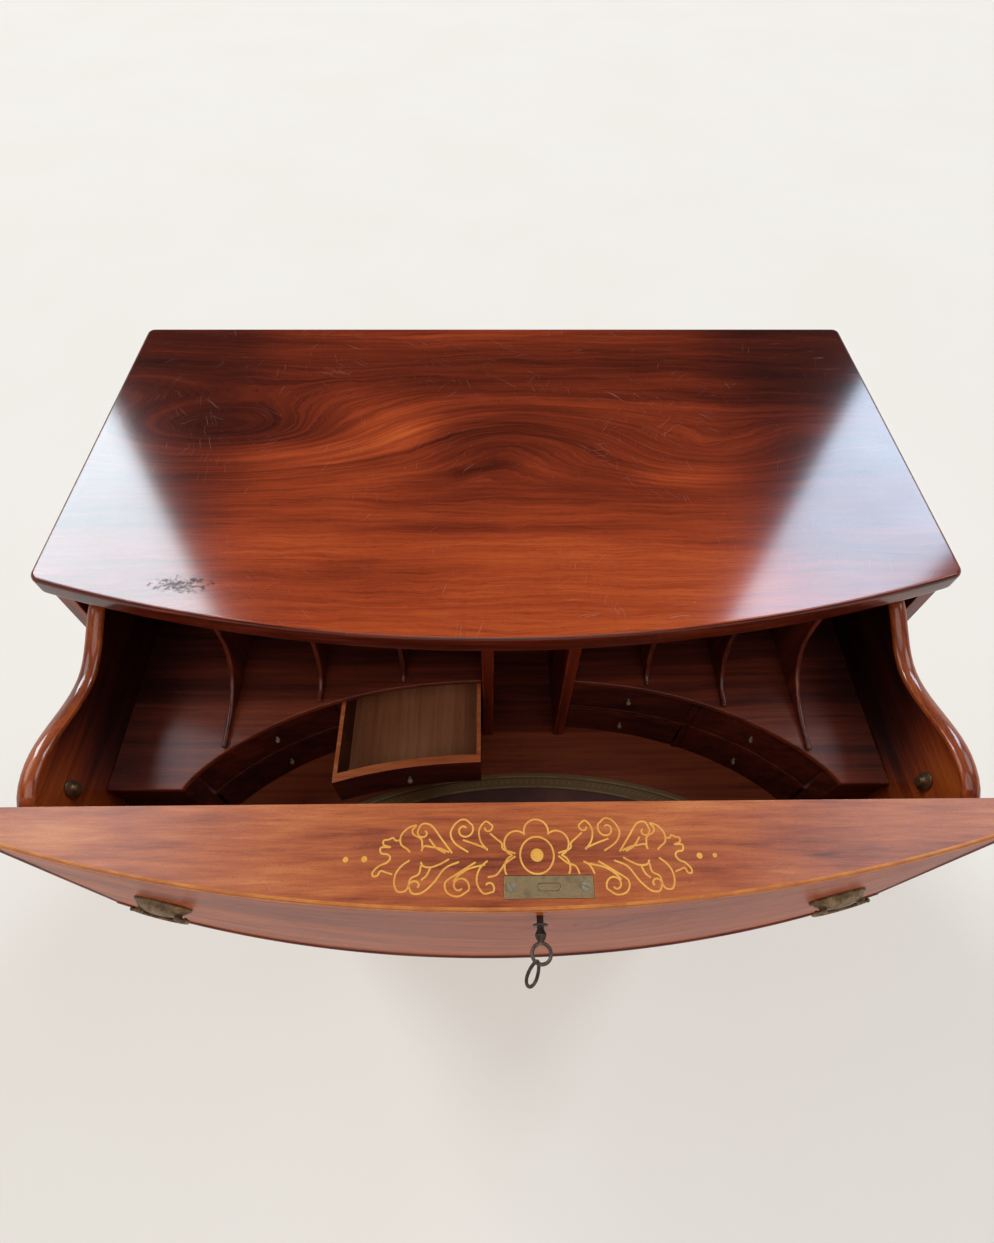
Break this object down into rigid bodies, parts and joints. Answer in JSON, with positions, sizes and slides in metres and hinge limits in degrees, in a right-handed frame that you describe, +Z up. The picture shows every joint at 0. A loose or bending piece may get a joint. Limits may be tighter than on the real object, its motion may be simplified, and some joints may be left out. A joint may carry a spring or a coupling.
{
  "type": "secretary chest of drawers",
  "caption": "Bow-front mahogany chest whose top drawer pulls out as a writing desk with a fall front, pigeonholes and small drawers, over deep long drawers on turned feet.",
  "frame": {"origin": "bottom centre of the bounding box, on the floor under the feet, with the writing drawer pulled out as pictured", "axes": "+Z up, -Y towards the user, +X to the user's right"},
  "size_m": [1, 0.8366, 1.04],
  "materials": {
    "mahogany": "french polished, glossy",
    "drawer_wood": "bare, planed",
    "brass": "aged",
    "bronze": "dark patina",
    "leather": "worn, tooled border"
  },
  "bodies": {
    "carcass": {"top_board": "mahogany", "left_side": "mahogany", "right_side": "mahogany", "back_panel": "drawer_wood", "dust_board_upper": "mahogany", "dust_board_lower_1": "mahogany", "base_board": "mahogany", "front_left_foot": "mahogany", "front_right_foot": "mahogany", "back_left_foot": "mahogany", "back_right_foot": "mahogany"},
    "writing_drawer": {"writing_floor": "mahogany", "writing_leather": "leather", "left_cheek": "mahogany", "right_cheek": "mahogany", "drawer_back": "drawer_wood", "pigeonhole_shelf": "mahogany", "divider_1": "mahogany", "divider_2": "mahogany", "divider_3": "mahogany", "divider_4": "mahogany", "divider_5": "mahogany", "divider_6": "mahogany", "pilaster_left": "mahogany", "pilaster_right": "mahogany", "nest_left": "mahogany", "nest_right": "mahogany", "catch_left": "brass", "catch_right": "brass", "fall_hinge_left": "brass", "fall_hinge_right": "brass"},
    "fall": {"fall_front": "mahogany", "lock": "bronze", "fall_handle_left_plate": "bronze", "fall_handle_right_plate": "bronze"},
    "lock_bolt": {"lock_bolt": "bronze"},
    "key": {"key": "bronze"},
    "key_tag": {"key_tag": "bronze"},
    "fall_left_bail": {"fall_handle_left_bail": "bronze"},
    "fall_right_bail": {"fall_handle_right_bail": "bronze"},
    "left_upper_inner": {"small_drawer_left_upper_inner": "mahogany"},
    "left_upper_outer": {"small_drawer_left_upper_outer": "mahogany"},
    "left_lower_inner": {"small_drawer_left_lower_inner": "mahogany"},
    "left_lower_outer": {"small_drawer_left_lower_outer": "mahogany"},
    "right_upper_inner": {"small_drawer_right_upper_inner": "mahogany"},
    "right_upper_outer": {"small_drawer_right_upper_outer": "mahogany"},
    "right_lower_inner": {"small_drawer_right_lower_inner": "mahogany"},
    "right_lower_outer": {"small_drawer_right_lower_outer": "mahogany"},
    "lower_drawer_1": {"lower_drawer_1_front": "mahogany", "lower_drawer_1_box": "drawer_wood", "lower_drawer_1_handle_left_plate": "bronze", "lower_drawer_1_handle_right_plate": "bronze"},
    "lower_drawer_1_left_bail": {"lower_drawer_1_handle_left_bail": "bronze"},
    "lower_drawer_1_right_bail": {"lower_drawer_1_handle_right_bail": "bronze"},
    "lower_drawer_2": {"lower_drawer_2_front": "mahogany", "lower_drawer_2_box": "drawer_wood", "lower_drawer_2_handle_left_plate": "bronze", "lower_drawer_2_handle_right_plate": "bronze"},
    "lower_drawer_2_left_bail": {"lower_drawer_2_handle_left_bail": "bronze"},
    "lower_drawer_2_right_bail": {"lower_drawer_2_handle_right_bail": "bronze"}
  },
  "joints": [
    {"name": "writing_drawer_slide", "type": "slide", "parent": "carcass", "child": "writing_drawer", "axis": [0, -1, 0], "range_m": [-0.252, 0.08]},
    {"name": "fall_hinge", "type": "hinge", "parent": "writing_drawer", "child": "fall", "pos_m": [0, -0.26972, 0.74], "axis": [1, 0, 0], "range_deg": [0, 90]},
    {"name": "key_turn", "type": "hinge", "parent": "fall", "child": "key", "pos_m": [0.03, -0.34272, 0.98], "axis": [0, -1, 0], "range_deg": [0, 90]},
    {"name": "lock_bolt_slide", "type": "slide", "parent": "fall", "child": "lock_bolt", "axis": [0, 0, 1], "range_m": [0, 0.008]},
    {"name": "key_tag_swing", "type": "hinge", "parent": "key", "child": "key_tag", "pos_m": [0.02576, -0.39724, 0.98], "axis": [0.848, -0.5299, 0], "range_deg": [-20, 20]},
    {"name": "fall_left_bail_swing", "type": "hinge", "parent": "fall", "child": "fall_left_bail", "pos_m": [-0.35215, -0.33584, 0.865], "axis": [-0.9789, 0.2044, 0], "range_deg": [0, 85]},
    {"name": "fall_right_bail_swing", "type": "hinge", "parent": "fall", "child": "fall_right_bail", "pos_m": [0.35215, -0.33584, 0.865], "axis": [-0.9789, -0.2044, 0], "range_deg": [0, 85]},
    {"name": "left_upper_inner_slide", "type": "slide", "parent": "writing_drawer", "child": "left_upper_inner", "axis": [0, -1, 0], "range_m": [-0.105, 0.02]},
    {"name": "left_upper_outer_slide", "type": "slide", "parent": "writing_drawer", "child": "left_upper_outer", "axis": [0, -1, 0], "range_m": [0, 0.05]},
    {"name": "left_lower_inner_slide", "type": "slide", "parent": "writing_drawer", "child": "left_lower_inner", "axis": [0, -1, 0], "range_m": [0, 0.1]},
    {"name": "left_lower_outer_slide", "type": "slide", "parent": "writing_drawer", "child": "left_lower_outer", "axis": [0, -1, 0], "range_m": [0, 0.05]},
    {"name": "right_upper_inner_slide", "type": "slide", "parent": "writing_drawer", "child": "right_upper_inner", "axis": [0, -1, 0], "range_m": [0, 0.1]},
    {"name": "right_upper_outer_slide", "type": "slide", "parent": "writing_drawer", "child": "right_upper_outer", "axis": [0, -1, 0], "range_m": [0, 0.05]},
    {"name": "right_lower_inner_slide", "type": "slide", "parent": "writing_drawer", "child": "right_lower_inner", "axis": [0, -1, 0], "range_m": [0, 0.1]},
    {"name": "right_lower_outer_slide", "type": "slide", "parent": "writing_drawer", "child": "right_lower_outer", "axis": [0, -1, 0], "range_m": [0, 0.05]},
    {"name": "lower_drawer_1_slide", "type": "slide", "parent": "carcass", "child": "lower_drawer_1", "axis": [0, 1, 0], "range_m": [-0.3, 0]},
    {"name": "lower_drawer_1_left_bail_swing", "type": "hinge", "parent": "lower_drawer_1", "child": "lower_drawer_1_left_bail", "pos_m": [-0.35215, -0.08384, 0.56535], "axis": [-0.9789, 0.2044, 0], "range_deg": [0, 85]},
    {"name": "lower_drawer_1_right_bail_swing", "type": "hinge", "parent": "lower_drawer_1", "child": "lower_drawer_1_right_bail", "pos_m": [0.35215, -0.08384, 0.56535], "axis": [-0.9789, -0.2044, 0], "range_deg": [0, 85]},
    {"name": "lower_drawer_2_slide", "type": "slide", "parent": "carcass", "child": "lower_drawer_2", "axis": [0, 1, 0], "range_m": [-0.3, 0]},
    {"name": "lower_drawer_2_left_bail_swing", "type": "hinge", "parent": "lower_drawer_2", "child": "lower_drawer_2_left_bail", "pos_m": [-0.35215, -0.08384, 0.27065], "axis": [-0.9789, 0.2044, 0], "range_deg": [0, 85]},
    {"name": "lower_drawer_2_right_bail_swing", "type": "hinge", "parent": "lower_drawer_2", "child": "lower_drawer_2_right_bail", "pos_m": [0.35215, -0.08384, 0.27065], "axis": [-0.9789, -0.2044, 0], "range_deg": [0, 85]}
  ],
  "couplings": [
    {"joint": "lock_bolt_slide", "follows": "key_turn", "m_per_rad": 0.00509}
  ]
}
